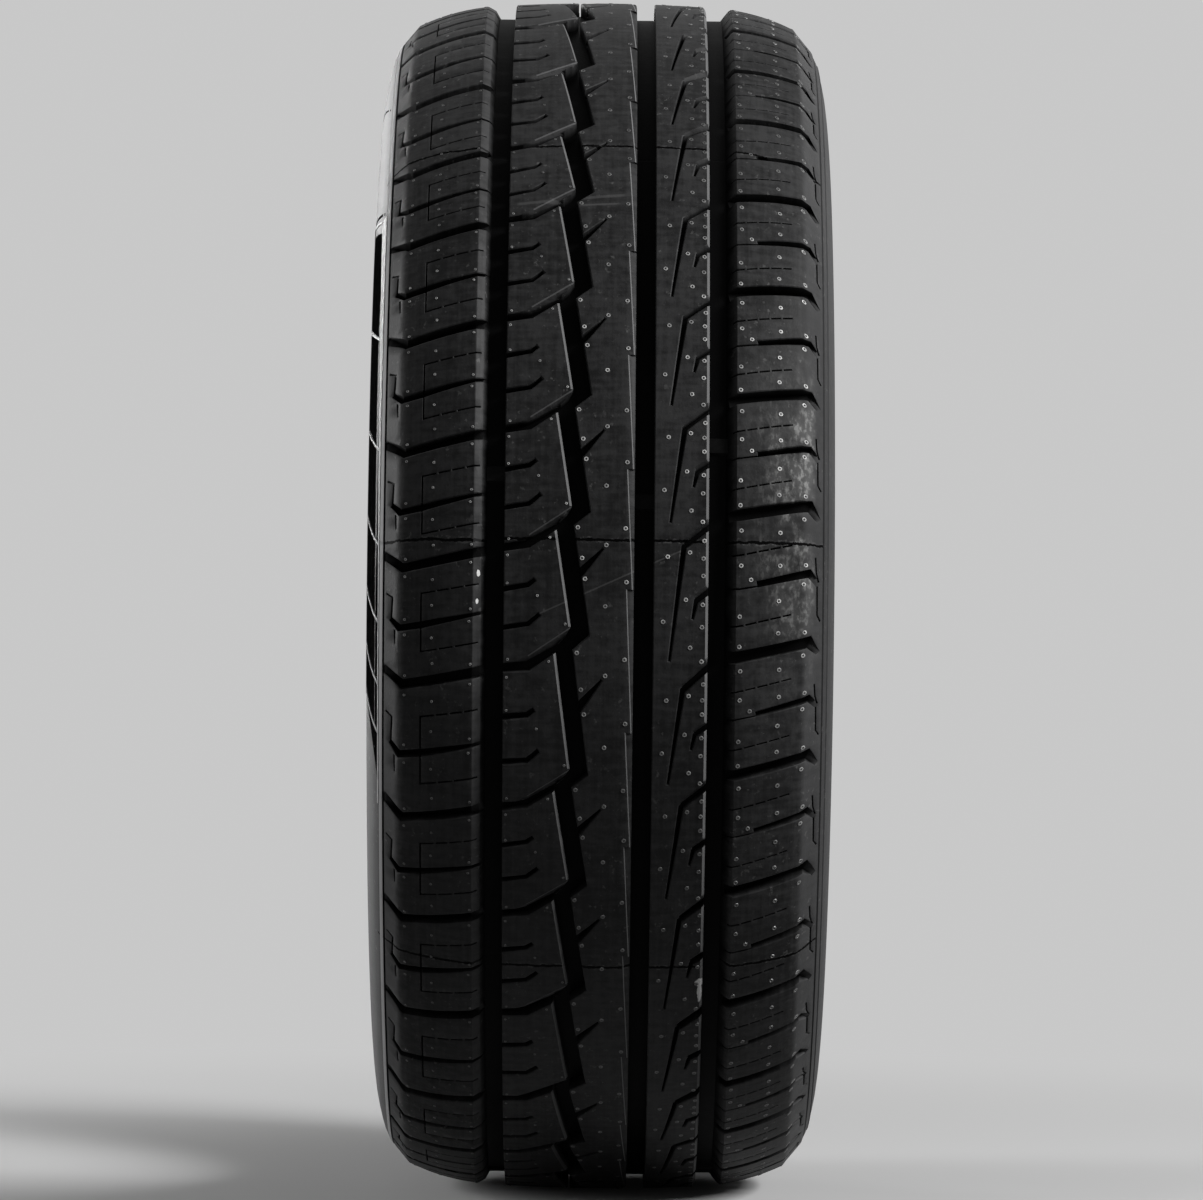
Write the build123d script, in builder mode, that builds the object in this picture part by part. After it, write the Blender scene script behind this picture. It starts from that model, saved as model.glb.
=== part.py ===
"""Car tyre, one moulded solid.

It stands upright on its tread, which its weight presses a little flat at the foot. The origin is the wheel
centre, the spin axis is +Y and +Z is up.
Sizes are in millimetres. A place on the tread is given by how far it lies from the middle of the tyre
along +Y, and by its share of the pitch, the stretch of pattern that repeats round the tyre.

A ring with a curved section takes up to ten times the facets of a cone or a cylinder, so the section is
drawn in straight runs. The ribs get their round crown from the step between them.
"""
import math
import os

from build123d import *

# Overall sizes
outer_diameter = 643.3
section_width = 236.0
bead_diameter = 436.6
rim_width = 203.0

# Tread surface, as drops below the crown and lateral places
crown_half_width = 58.0
rib_drop = 0.9
crease_drop = 12.6
shoulder_facet = 10.0
facet_slope = 51.0
tread_setback = 7.5

# How far the standing tyre is pressed flat at its foot
foot_flat = 1.5

# Sidewalls and beads
widest_share = 0.41
bead_height = 9.0
bead_chamfer = 5.0
bead_width = 17.0

# Walls
crown_wall = 17.0
side_wall = 8.0
liner_half_width = 74.0
liner_side_share = 0.44

# Straight grooves: first edge, width at the top, and the runs of the two sloping walls
groove_depth = 8.2
left_groove_edge = -63.5
left_groove_width = 15.3
left_wall_run = 5.5
centre_groove_edge = 13.9
centre_groove_width = 12.0
right_groove_edge = 52.8
right_groove_width = 14.4
right_wall_run = 5.7

# Zigzag groove between the second rib and the centre rib, with a cross groove to each tip
zigzag_edge = -22.5
zigzag_width = 8.8
zigzag_swing = 7.8
cross_groove_width = 4.2
cross_groove_drop = 20.0
cross_groove_overlap = 3.0

# Wide grooves over the shoulders. The left ones keep their distance below a tip, the right ones above a tip
lateral_depth = 6.4
lateral_fade = 1.5
left_lateral_width = 4.8
left_lateral_drop = 22.3
left_lateral_fall = 9.7
right_lateral_width = 5.4
right_lateral_rise = 55.0
right_lateral_climb = 9.3
lateral_hook = 8.2
lateral_overlap = 1.5

# Pitches of four lengths, in their order round the tyre from the first tip of the zigzag downwards
pitch_order = "MSMMMMXMLXLSLMXLMLXMLMSLXLMXLMLX"
pitch_lengths = {"S": 0.84, "M": 1.0, "L": 1.07, "X": 1.2}
first_tip_angle = 59.75

# Places worked out from the sizes
outer_radius = outer_diameter / 2
bead_radius = bead_diameter / 2
section_height = outer_radius - bead_radius
half_section = section_width / 2
half_rim = rim_width / 2
tread_edge = half_section - tread_setback
crease = tread_edge - shoulder_facet
crease_radius = outer_radius - crease_drop
edge_radius = crease_radius - shoulder_facet * math.tan(math.radians(facet_slope))
liner_radius = outer_radius - crown_wall
floor_radius = outer_radius - rib_drop - lateral_depth
fade = tread_edge - lateral_fade
fade_radius = edge_radius + lateral_fade * math.tan(math.radians(facet_slope))
floor_slope = (fade_radius - floor_radius) / (fade - crown_half_width)
above_tread = outer_radius + groove_depth
left_rib = left_groove_edge + left_groove_width
zigzag_tip = zigzag_edge + zigzag_swing
centre_rib = zigzag_edge + zigzag_width
right_shoulder = right_groove_edge + right_groove_width

outer_points = [
    (crown_half_width, outer_radius - rib_drop),
    (crease, crease_radius),
    (tread_edge, edge_radius),
    (half_section, bead_radius + widest_share * section_height),
    (half_rim, bead_radius + bead_height),
    (half_rim - bead_chamfer, bead_radius),
]
inner_points = [
    (liner_half_width, liner_radius),
    (half_section - side_wall, bead_radius + liner_side_share * section_height),
    (half_rim - bead_width, bead_radius),
]
centre_rib_points = [
    ((zigzag_tip + centre_rib) / 2, floor_radius),
    ((zigzag_tip + centre_rib) / 2, outer_radius),
    (centre_groove_edge + centre_groove_width / 2, outer_radius),
    (centre_groove_edge + centre_groove_width / 2, floor_radius),
]
floor_points = [
    (crown_half_width, floor_radius),
    (half_section, floor_radius + floor_slope * (half_section - crown_half_width)),
    (half_section, above_tread),
]


def both_sides(points):
    """A closed outline from the points of the +Y side and their mirror images."""
    return points + [(-y, radius) for y, radius in reversed(points)]


def straight_groove(edge, width, left_run=0.0, right_run=0.0):
    """Section of a straight groove, open to the air above the tread."""
    floor = outer_radius - rib_drop - groove_depth
    rise = (above_tread - floor) / groove_depth
    return [
        (edge + left_run, floor),
        (edge + width - right_run, floor),
        (edge + width - right_run + right_run * rise, above_tread),
        (edge + left_run - left_run * rise, above_tread),
    ]


def band(width, *stops):
    """Outline of a groove that runs across the tread through stops of (lateral place, place along)."""
    upper = [(y, along + width / 2) for y, along in stops]
    lower = [(y, along - width / 2) for y, along in reversed(stops)]
    return upper + lower


def pitch_outlines(length):
    """Outlines of what is cut in one pitch. Shares run from the tip at its foot up to the next tip."""

    def at(share):
        return (share - 0.5) * length

    in_left_groove = left_rib - cross_groove_overlap
    block_corner = -0.158
    zigzag_and_cross_groove = [
        (zigzag_edge, at(1 + block_corner)),
        (zigzag_tip, at(0)),
        (in_left_groove, at(0) - cross_groove_drop),
        (in_left_groove, at(0) - cross_groove_drop - cross_groove_width),
        (zigzag_edge, at(block_corner)),
        (centre_rib, at(block_corner)),
        (centre_rib + zigzag_swing, at(-0.05)),
        (centre_rib, at(1 + block_corner)),
    ]
    left_start = at(1) - left_lateral_drop
    left_lateral = band(
        left_lateral_width,
        (left_groove_edge + left_wall_run + lateral_overlap, left_start),
        (-crease, left_start - left_lateral_fall),
        (-tread_edge, left_start - left_lateral_fall + lateral_hook),
    )
    right_start = at(0) + right_lateral_rise
    right_lateral = band(
        right_lateral_width,
        (right_shoulder - right_wall_run - lateral_overlap, right_start),
        (crease, right_start + right_lateral_climb),
        (tread_edge, right_start + right_lateral_climb - lateral_hook),
    )
    return zigzag_and_cross_groove, left_lateral, right_lateral


# What lies above the flat floors of the cut grooves, at the front of the tyre
with BuildPart() as above_floors:
    with BuildSketch(Plane(origin=(0, 0, 0), x_dir=(0, 1, 0), z_dir=(0, 0, -1))):
        Polygon(*both_sides(floor_points), align=None)
    extrude(amount=outer_radius / 4, both=True)

# One cutter for each length of pitch, at the front of the tyre
sequence_length = sum(pitch_lengths[name] for name in pitch_order)
pitch_angles = {name: 360 * length / sequence_length for name, length in pitch_lengths.items()}
front = Plane(origin=(above_tread, 0, 0), x_dir=(0, 1, 0), z_dir=(1, 0, 0))
cutters = {}
for name, angle in pitch_angles.items():
    with BuildPart() as cutter:
        with BuildSketch(front):
            for outline in pitch_outlines(math.radians(angle) * outer_radius):
                Polygon(*outline, align=None)
        extrude(amount=edge_radius - above_tread)
        add(above_floors.part, mode=Mode.INTERSECT)
    cutters[name] = cutter.part

placed_cutters = []
tip_angle = first_tip_angle
for name in pitch_order:
    middle = tip_angle - pitch_angles[name] / 2
    placed_cutters.append(Rotation(0, -middle, 0) * cutters[name])
    tip_angle -= pitch_angles[name]

with BuildPart() as tyre:
    with BuildSketch(Plane.YZ):
        Polygon(*both_sides(outer_points), align=None)
        Polygon(*centre_rib_points, align=None)
        Polygon(*both_sides(inner_points), align=None, mode=Mode.SUBTRACT)
    revolve(axis=Axis.Y)
    with BuildSketch(Plane.YZ):
        Polygon(*straight_groove(left_groove_edge, left_groove_width, left_run=left_wall_run), align=None)
        Polygon(*straight_groove(centre_groove_edge, centre_groove_width), align=None)
        Polygon(*straight_groove(right_groove_edge, right_groove_width, right_run=right_wall_run), align=None)
    revolve(axis=Axis.Y, mode=Mode.SUBTRACT)
    add(placed_cutters, mode=Mode.SUBTRACT)
    with Locations((0, 0, foot_flat - outer_radius)):
        below_foot = (Align.CENTER, Align.CENTER, Align.MAX)
        Box(outer_radius, section_width, groove_depth, align=below_foot, mode=Mode.SUBTRACT)

tyre.part.label = "tyre"
os.makedirs("parts", exist_ok=True)
export_step(tyre.part, "parts/tyre.step")
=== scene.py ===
"""Car tyre on a pale floor: one moulded rubber mesh with the whole tread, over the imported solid.

Sizes are in millimetres until a mesh is made, and in metres in the materials. A place on the tread is (y, s):
how far it lies from the middle of the tyre along +Y, and how far along the tread above the tip of the zigzag.
One pitch of the pattern is drawn 60 mm long and repeated round the tyre.
"""
import math
from functools import partialmethod, reduce

import bpy
import numpy as np
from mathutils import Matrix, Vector
from mathutils.geometry import delaunay_2d_cdt


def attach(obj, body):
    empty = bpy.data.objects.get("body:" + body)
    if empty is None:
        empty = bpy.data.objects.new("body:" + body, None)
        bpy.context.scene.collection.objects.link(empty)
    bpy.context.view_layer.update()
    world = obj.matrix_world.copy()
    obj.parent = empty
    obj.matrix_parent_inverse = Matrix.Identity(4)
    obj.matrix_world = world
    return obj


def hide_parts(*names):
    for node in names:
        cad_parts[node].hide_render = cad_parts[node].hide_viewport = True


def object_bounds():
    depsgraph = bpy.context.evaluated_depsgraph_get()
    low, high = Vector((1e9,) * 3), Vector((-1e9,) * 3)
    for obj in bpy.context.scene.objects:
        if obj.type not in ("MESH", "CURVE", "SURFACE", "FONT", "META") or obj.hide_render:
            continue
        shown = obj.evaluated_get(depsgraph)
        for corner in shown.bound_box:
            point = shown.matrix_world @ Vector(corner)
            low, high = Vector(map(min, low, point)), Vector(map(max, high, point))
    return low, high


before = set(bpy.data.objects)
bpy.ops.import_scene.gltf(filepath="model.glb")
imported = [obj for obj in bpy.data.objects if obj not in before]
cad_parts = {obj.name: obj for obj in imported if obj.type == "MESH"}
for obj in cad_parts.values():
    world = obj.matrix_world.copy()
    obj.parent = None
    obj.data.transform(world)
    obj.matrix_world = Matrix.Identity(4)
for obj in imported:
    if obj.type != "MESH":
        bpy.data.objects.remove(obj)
cad_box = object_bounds()

# Tread section
outer_radius = 321.65
crown_radius = 850.0
crown_half_width = 60.0
shoulder_radius = 110.0
crease = 100.5
tread_edge = 110.5
edge_drop = 24.95
foot_flat = 1.5

# Floors of the cuts
groove_floor = outer_radius - 9.1
cut_floor = outer_radius - 7.3
lateral_start = 58.0
lateral_end = 109.0
lateral_overrun = 1.2

# Straight grooves from edge to edge, and the places where their walls bend
left_groove = (-63.5, -48.2)
left_slope_middle = -61.3
left_slope_end = -59.5
left_wall_foot = -57.0
centre_groove = (16.4, 26.1)
right_groove = (53.3, 67.2)
right_wall_foot = 61.6
right_slope_start = 65.9
third_rib_bevel = (52.0, 53.3)
left_edge_line = (-108.9, -107.9)
wall_bends = [
    left_slope_middle, left_slope_end, left_wall_foot, third_rib_bevel[0], right_wall_foot, right_slope_start,
]

# Pitches, as in the solid. A straight groove is drawn longer than the one pitch that is meshed
pitch = 60.0
pitch_start = 8.6
pitch_end = pitch_start + pitch
ring_ends = (-95.0, 155.0)
pitch_order = "MSMMMMXMLXLSLMXLMLXMLMSLXLMXLMLX"
pitch_lengths = {"S": 0.84, "M": 1.0, "L": 1.07, "X": 1.2}
first_tip_angle = 59.75
pitch_count = len(pitch_order)

# The line between two pitches slants across the tread: lateral places and distances above the tip
slant_places = [-104, -58, -48, -14, 5, 28, 53, 69, 104]
slant_rises = [-31, -22, -21, 0, 6, 36, 42, 57, 64]

# Mesh spacing along lines, at the ends of the pitch and between lines, and the angle of a sharp edge
step = 6.0
end_points = 38
end_clearance = 1.5
loose_half_width = 108.0
loose_spacing = 5.4
loose_rows = 10
loose_clearance = 1.6
sharp_angle = 34

# Thin cuts, bevels along cuts, and how far the top of a tall wall is lowered for its bevel
sipe_width = 0.75
sipe_gap = 1.1
sipe_bevel = 0.25
edge_bevel = 0.5
least_mitre = 0.5
tall_wall = 1.2
edge_lowering = 0.42
sipe_lowering = 0.18

# How far past the ends of the pitch cuts and lines still count, and what counts as the same depth or place
cut_margin = 12.0
line_margin = 20.0
same_depth = 0.03
same_place = 1e-3
weld = 1e-5
rounding = 1e-6
depth_digits = 6

# Painted highlight and depth of the slope of the left groove, and where the painted shade of the cuts starts
# and is full
left_slope_shine = 0.07
left_slope_depth = 4.0
shade_start = 1.9
shade_run = 1.4
line_shade_start = 0.5
slope_margin = 0.1
edge_line_margin = 0.2


def crown_drop(aside):
    """Drop of the crown and shoulder arcs at a distance from the middle."""
    crown = crown_radius - np.sqrt(crown_radius ** 2 - np.minimum(aside, crown_half_width) ** 2)
    start = crown_half_width / crown_radius
    turn = start + (np.clip(aside, crown_half_width, crease) - crown_half_width) / shoulder_radius
    return crown + shoulder_radius * (math.sqrt(1 - start ** 2) - np.sqrt(1 - turn ** 2))


def tread_radius(y):
    """Radius of the uncut tread at a lateral place."""
    aside = np.abs(y)
    facet = np.maximum(aside - crease, 0) * (edge_drop - crown_drop(crease)) / (tread_edge - crease)
    return outer_radius - crown_drop(aside) - facet


def floor_at(radius):
    """Depth below the tread of a floor that has one radius."""
    return lambda y, s: tread_radius(y) - radius


def walls_at(places, shares):
    """Depth of a straight groove: shares of its full depth at lateral places."""
    return lambda y, s: np.interp(y, places, shares) * (tread_radius(y) - groove_floor)


def lateral_floor(lift=0.0):
    """Depth of a floor that fades out near the tread edge."""
    end_radius = float(tread_radius(np.array(lateral_end)))

    def depth(y, s):
        along = np.clip((np.abs(y) - lateral_start) / (lateral_end - lateral_start), 0, lateral_overrun)
        radius = cut_floor + lift + (end_radius - cut_floor - lift) * along
        return np.maximum(tread_radius(y) - radius, 0)

    return depth


def even(depth):
    """The same depth everywhere."""
    return lambda y, s: np.full(np.shape(y), float(depth))


def ramp(start, end, slope):
    """Depth that grows to the right of the line from start to end."""
    (y0, s0), (y1, s1) = start, end
    length = math.hypot(y1 - y0, s1 - s0)
    across = ((s1 - s0) / length, (y0 - y1) / length)
    return lambda y, s: np.maximum(((y - y0) * across[0] + (s - s0) * across[1]) * slope, 0)


def mitred(before, after):
    """Moves of corners by one unit, from the directions across the lines before and after."""
    move = before + after
    move /= np.linalg.norm(move, axis=1)[:, None]
    return move / np.maximum((move * after).sum(axis=1), least_mitre)[:, None]


def band(*stops):
    """Outline of a cut along stops of (y, s, width)."""
    middle = np.array([stop[:2] for stop in stops], dtype=float)
    half = np.array([stop[2] for stop in stops])[:, None] / 2
    runs = np.diff(middle, axis=0)
    runs /= np.linalg.norm(runs, axis=1)[:, None]
    sides = np.stack([-runs[:, 1], runs[:, 0]], axis=1)
    move = mitred(np.vstack([sides[:1], sides]), np.vstack([sides, sides[-1:]])) * half
    return np.vstack([middle + move, (middle - move)[::-1]])


def ring(edges):
    """Outline of a straight groove between two lateral places."""
    (left, right), (low, high) = edges, ring_ends
    return np.array([(left, low), (right, low), (right, high), (left, high)])


def is_ring(outline):
    """Whether an outline goes on past both ends of the pitch."""
    return np.ptp(outline[:, 1]) > 2 * pitch


def outline_sides(outline):
    """The lines of an outline, each from a corner to the next."""
    return np.stack([outline, np.roll(outline, -1, axis=0)], axis=1)


def counter_clockwise(outline):
    """The outline with its corners in counter-clockwise order."""
    y, s = outline[:, 0], outline[:, 1]
    area = (y * np.roll(s, -1) - np.roll(y, -1) * s).sum()
    return outline if area > 0 else outline[::-1]


def grown(outline, by):
    """A counter-clockwise outline moved outwards."""
    runs = np.roll(outline, -1, axis=0) - outline
    runs /= np.linalg.norm(runs, axis=1)[:, None]
    sides = np.stack([runs[:, 1], -runs[:, 0]], axis=1)
    return outline + mitred(np.roll(sides, 1, axis=0), sides) * by


def divided(points, closed=True):
    """The points with more between them, at the mesh spacing or closer."""
    ends = np.roll(points, -1, axis=0) if closed else points[1:]
    made = []
    for start, end in zip(points, ends):
        count = max(1, math.ceil(np.linalg.norm(end - start) / step - rounding))
        made += [start + (end - start) * index / count for index in range(count)]
    if not closed:
        made.append(points[-1])
    return np.array(made)


# The pattern of one pitch. A strip with a painted highlight is cut before the wider bevel of the same depth
cuts = []


def cut(outline, depth, bevel=edge_bevel, shine=0.0):
    """Add a cut, with a bevel along its edge and a share of painted highlight."""
    cuts.append((counter_clockwise(np.array(outline, dtype=float)), depth, bevel, shine))


def sipe(outline, depth=3.5):
    """Add a thin cut."""
    cut(outline, even(depth), sipe_bevel)


def broken_sipe(start, end, gaps):
    """Add a thin straight cut that is broken at shares of its length."""
    start, end = np.array(start), np.array(end)
    half_gap = sipe_gap / 2 / np.linalg.norm(end - start)
    lows = [0.0] + [share + half_gap for share in gaps]
    highs = [share - half_gap for share in gaps] + [1.0]
    for pair in zip(lows, highs):
        first, last = [start + (end - start) * share for share in pair]
        sipe(band((*first, sipe_width), (*last, sipe_width)))


# Straight grooves
cut(ring(left_groove), walls_at([left_groove[0], left_slope_end, left_wall_foot], [0, 0.36, 1]))
cut(ring(centre_groove), floor_at(groove_floor))
cut(ring(right_groove), walls_at([right_wall_foot, right_slope_start, right_groove[1]], [1, 0.16, 0]))

# Bevelled right edges of the second, centre and third ribs, with painted highlights on the bevels
zigzag_tip = (-14.7, 0)
zigzag_corner = (-22.5, 50.5)
second_foot = (-15.9, 0)
second_head = (-23.7, 50.5)
cut(
    [second_head, second_foot, zigzag_tip, zigzag_corner],
    ramp(second_foot, second_head, 1.0),
    bevel=0,
    shine=0.4,
)
centre_foot = (15.4, -41.2)
centre_head = (12.5, 18.8)
centre_ramp = ramp(centre_foot, centre_head, 0.4)
cut([centre_head, centre_foot, (15.9, -41.2), (13.0, 18.8)], centre_ramp, bevel=0, shine=0.7)
cut([centre_head, centre_foot, (16.4, -41.2), (16.4, 18.8)], centre_ramp, bevel=0)
third_foot = (third_rib_bevel[0], 0)
third_head = (third_rib_bevel[0], 10)
cut(ring(third_rib_bevel), ramp(third_foot, third_head, 1.0), bevel=0, shine=0.42)

# Zigzag groove, the sloping lower face of each block with a painted highlight, and the cross groove under it
cut(
    [zigzag_corner, zigzag_tip, (-17.2, -4.4), (-22.5, -9.5), (-13.7, -9.5), (-5.5, -3), (-9.7, 24.8),
     (-10.3, 27.3), (-13.8, 50.5)],
    floor_at(cut_floor),
)
block_foot = (-36, -14.3)
block_ramp = ramp(block_foot, zigzag_tip, 0.9)
cut([zigzag_tip, block_foot, (-35.7, -14.8), (-14.7, -0.7)], block_ramp, bevel=0, shine=0.24)
cut([zigzag_tip, block_foot, (-42, -17.9), (-36, -16.9), (-22.5, -9.2), (-17.2, -4.4)], block_ramp, bevel=0)
cut(band((-52, -21.2, 4.2), (-36, -18.9, 4.0), (-22.5, -10.4, 2.6), (-20, -8.8, 2.6)), floor_at(cut_floor))

# Slots of the second rib and the notch of the centre rib
cut(band((-50, 18.1, 2.8), (-36, 20.7, 2.4), (-32.7, 23.3, 1.9)), even(5.5))
cut(band((-50, -1.1, 2.6), (-36, 1.2, 2.3), (-30.3, 6.1, 2.0)), even(5.5))
cut(band((-12, 25.2, 4.2), (-8, 29.4, 3.5), (0.8, 38.8, 0.9)), even(5.0))

# Hooks of the third rib, with a slope above each mouth
cut(band((54.5, 50.9, 2.6), (41, 40.3, 2.5), (34.2, -7.7, 1.0)), even(6.0))
cut([(40.6, 43.6), (53.3, 54.9), (53.3, 49.5), (41.0, 40.3)], ramp((40.6, 43.6), (53.3, 54.9), 1.1), bevel=0)
cut(band((54.5, 22.7, 2.6), (47.3, 17.8, 2.2), (45.5, 10.3, 1.0)), even(5.0))
cut([(46.2, 20.5), (53.3, 25.6), (53.3, 21.5), (47.3, 17.8)], ramp((46.2, 20.5), (53.3, 25.6), 1.0), bevel=0)

# Left shoulder: the line at its edge, wide and narrow lateral grooves, and thin cuts round the narrow one
cut(ring(left_edge_line), even(1.0), bevel=0)
cut(band((-57.5, 37.6, 5.0), (-98.5, 28.9, 4.6), (-106.0, 34.4, 4.2), (-108.4, 36.0, 4.0)), lateral_floor())
cut(
    band(
        (-57.5, 6.6, 1.6), (-62, 5.7, 1.7), (-80, 1.9, 3.0), (-90, -0.4, 3.6), (-100, -2.2, 3.4),
        (-104.5, 2.3, 2.2),
    ),
    lateral_floor(lift=1.5),
)
sipe(band((-104.2, 2.0, 0.9), (-103.7, 13.6, 0.8), (-106.9, 15.6, 0.8)), depth=2.0)
sipe(band((-102.5, -3.2, 0.8), (-102.3, -10.7, 0.6)), depth=2.0)
broken_sipe((-60.8, 20.8), (-89.3, 15.8), [0.25, 0.5, 0.74])
broken_sipe((-60.8, -8.5), (-89.3, -13.9), [0.42, 0.7])
sipe(band((-89.3, 16.2, sipe_width), (-89.3, -14.3, sipe_width)))

# Right shoulder: the same kinds of cut, slanted the other way
cut(band((63.0, -4.2, 5.4), (104, 3.9, 5.4), (108.6, -2.2, 2.6)), lateral_floor(lift=0.6))
cut(band((77.5, 28.1, 2.6), (104, 34.2, 3.6), (108.6, 29.0, 2.6)), lateral_floor(lift=1.8))
sipe(band((64.0, 24.8, sipe_width), (78.5, 27.4, sipe_width)))
broken_sipe((65.0, 38.9), (95.0, 45.6), [0.22, 0.42, 0.62, 0.82])
broken_sipe((64.0, 9.0), (94.5, 15.9), [0.24, 0.45, 0.65, 0.85])
sipe(band((107.0, 41.4, 0.8), (107.4, 34.9, 0.8), (108.6, 30.4, 0.8)), depth=1.5)
sipe(band((107.9, 28.6, 0.8), (108.0, 15.8, 0.8), (109.6, 12.9, 0.8)), depth=1.5)


def inside(outline, y, s):
    """Which points lie in an outline."""
    hit = np.zeros(len(y), dtype=bool)
    for (y0, s0), (y1, s1) in outline_sides(outline):
        if s0 == s1:
            continue
        crossing = (s0 > s) != (s1 > s)
        hit ^= crossing & (y < (y1 - y0) * (s - s0) / (s1 - s0) + y0)
    return hit


def distance_to(lines, y, s):
    """Distance from each point to the nearest line."""
    start = lines[:, 0][None]
    run = (lines[:, 1] - lines[:, 0])[None]
    point = np.stack([y, s], axis=1)[:, None]
    along = np.clip(((point - start) * run).sum(axis=2) / (run ** 2).sum(axis=2), 0, 1)
    return np.linalg.norm(point - start - run * along[..., None], axis=2).min(axis=1)


def placed_cuts():
    """The cuts that reach the meshed pitch, with the whole pitches that each is moved by."""
    placed = []
    for outline, depth, bevel, shine in cuts:
        for shift in [0.0] if is_ring(outline) else [-pitch, 0.0, pitch]:
            moved = outline + np.array([0, shift])
            low, high = moved[:, 1].min(), moved[:, 1].max()
            if high > pitch_start - cut_margin and low < pitch_end + cut_margin:
                placed.append((moved, depth, bevel, shift, shine))
    return placed


def drawn_lines(placed):
    """Points and edges that the flat mesh of one pitch keeps."""
    points, edges, lines = [], [], []

    def draw(line, closed=True):
        first, count = len(points), len(line)
        points.extend(line)
        for index in range(count if closed else count - 1):
            edges.append((first + index, first + (index + 1) % count))

    def draw_along(y, low, high):
        draw(divided(np.array([(y, low), (y, high)]), closed=False), closed=False)

    def keep_clear(y):
        lines.append(np.array([[(y, pitch_start - line_margin), (y, pitch_end + line_margin)]]))

    for outline, _, bevel, _, _ in placed:
        if is_ring(outline):
            for y in (outline[:, 0].min(), outline[:, 0].max()):
                for place in [y, y - bevel, y + bevel] if bevel else [y]:
                    draw_along(place, pitch_start - pitch, pitch_end + pitch)
                keep_clear(y)
            continue
        draw(divided(outline))
        lines.append(outline_sides(outline))
        if bevel:
            draw(divided(grown(outline, bevel)))
    for y in wall_bends + [-crease, crease]:
        draw_along(y, pitch_start - pitch, pitch_end + pitch)
        keep_clear(y)
    lines = np.concatenate(lines)

    # The border of the pitch, with the same points on its two ends
    across = np.linspace(-tread_edge, tread_edge, end_points)
    clear = distance_to(lines, across, np.full(len(across), pitch_start)) > end_clearance
    clear[[0, -1]] = True
    across = across[clear]
    for s in (pitch_start, pitch_end):
        draw(np.stack([across, np.full(len(across), s)], axis=1), closed=False)
    for y in (-tread_edge, tread_edge):
        draw_along(y, pitch_start, pitch_end)

    # Loose points that keep the faces small on the curved tread
    columns = np.arange(-loose_half_width, loose_half_width + 1, loose_spacing)
    rows = pitch_start + pitch * (np.arange(loose_rows) + 0.5) / loose_rows
    y, s = [grid.ravel() for grid in np.meshgrid(columns, rows)]
    free = distance_to(lines, y, s) > loose_clearance
    points.extend(np.stack([y[free], s[free]], axis=1))
    return points, edges


def flat_mesh(points, edges):
    """Corners, faces and middles of faces of one pitch, laid out flat."""
    flat = [Vector((float(y), float(s))) for y, s in points]
    corners, _, faces, *_ = delaunay_2d_cdt(flat, edges, [], 0, weld)
    corners = np.array([(corner.x, corner.y) for corner in corners])
    faces = np.array(faces)
    middles = corners[faces].mean(axis=1)
    within = (middles[:, 1] > pitch_start) & (middles[:, 1] < pitch_end)
    within &= np.abs(middles[:, 0]) < tread_edge
    faces, middles = faces[within], middles[within]
    ahead, aside = np.moveaxis(corners[faces[:, 1:]] - corners[faces[:, :1]], 1, 0)
    turned = ahead[:, 0] * aside[:, 1] - ahead[:, 1] * aside[:, 0] < 0
    faces[turned] = faces[turned][:, ::-1]
    return corners, faces, middles


def joined_ends(corners, faces):
    """For each corner, the one that stands for it, and one where it belongs to the next pitch."""
    used = np.unique(faces)

    def at_end(s):
        found = used[np.abs(corners[used, 1] - s) < same_place]
        return found[np.argsort(corners[found, 0])]

    upper, lower = at_end(pitch_end), at_end(pitch_start)
    if len(upper) != len(lower) or np.abs(corners[upper, 0] - corners[lower, 0]).max() > 10 * same_place:
        raise ValueError("the two ends of the pitch differ")
    stand_in = np.arange(len(corners))
    stand_in[upper] = lower
    later = np.zeros(len(corners), dtype=int)
    later[upper] = 1
    return stand_in, later


def face_depths(placed, corners, faces, middles):
    """Depth at each corner of each face, and the painted highlight of each face."""
    corner_y, corner_s = corners[faces, 0], corners[faces, 1]
    depths = np.zeros(faces.shape)
    shines = np.zeros(len(faces))
    for outline, depth, _, shift, shine in placed:
        hit = np.flatnonzero(inside(outline, middles[:, 0], middles[:, 1]))
        here = depth(corner_y[hit], corner_s[hit] - shift)
        deeper = here.mean(axis=1) > depths[hit].mean(axis=1)
        shines[hit[deeper]] = shine
        depths[hit] = np.maximum(depths[hit], here)

    # Painted highlights on the slope of the left groove and outside the line at the left edge
    y = middles[:, 0]
    on_slope = (y > left_groove[0]) & (y < left_slope_end) & (depths.mean(axis=1) < left_slope_depth)
    shines[on_slope] = left_slope_shine
    shines[y < left_edge_line[0]] = 1.0
    return depths, shines


def stacked_sheets(placed, corners, faces, depths, stand_in):
    """Sheets of (y, s, depth), one for each depth at a corner, and the sheet of each (corner, depth)."""
    wide = [outline_sides(outline) for outline, _, bevel, _, _ in placed if bevel > sipe_bevel]
    beside_wide = distance_to(np.concatenate(wide), corners[:, 0], corners[:, 1]) < same_place
    depths_at = {}
    for face, row in zip(faces, depths):
        for corner, depth in zip(face, row):
            depths_at.setdefault(int(stand_in[corner]), []).append(float(depth))
    sheets, sheet_of = [], {}
    for corner, found in depths_at.items():
        found = sorted(found)
        levels = [[found[0]]]
        for depth in found[1:]:
            if depth - levels[-1][-1] > same_depth:
                levels.append([])
            levels[-1].append(depth)
        means = [sum(level) / len(level) for level in levels]
        for level, mean in zip(levels, means):
            for depth in level:
                sheet_of[corner, round(depth, depth_digits)] = len(sheets)
            lowered = mean
            if means[-1] - mean > tall_wall:
                lowered += edge_lowering if beside_wide[corner] else sipe_lowering
            sheets.append((corners[corner, 0], corners[corner, 1], lowered))
    return sheets, sheet_of


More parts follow.
